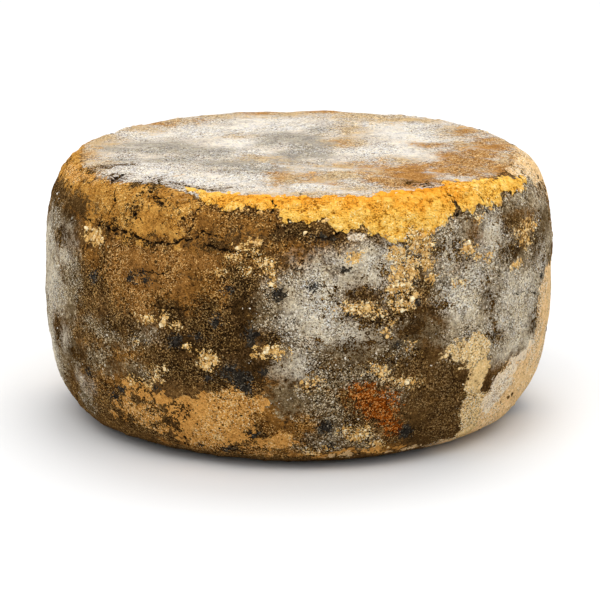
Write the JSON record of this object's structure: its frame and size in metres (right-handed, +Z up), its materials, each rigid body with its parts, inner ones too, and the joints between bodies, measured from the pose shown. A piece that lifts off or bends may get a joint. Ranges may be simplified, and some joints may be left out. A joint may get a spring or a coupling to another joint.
{
  "type": "cheese wheel",
  "caption": "Whole uncut aged cheese wheel with a flat top, squarish shoulder, rounded belly and smaller flat foot, under a cracked, mouldy natural rind.",
  "frame": {"origin": "middle of the flat foot that the wheel stands on", "axes": "+Z up through the middle of the wheel, -Y towards the front, where the golden crust hangs over the shoulder, +X to the right seen from the front"},
  "size_m": [0.2608, 0.2593, 0.1348],
  "materials": {
    "natural_rind": "matte"
  },
  "bodies": {
    "root": {"cheese_wheel": "natural_rind"}
  },
  "joints": []
}
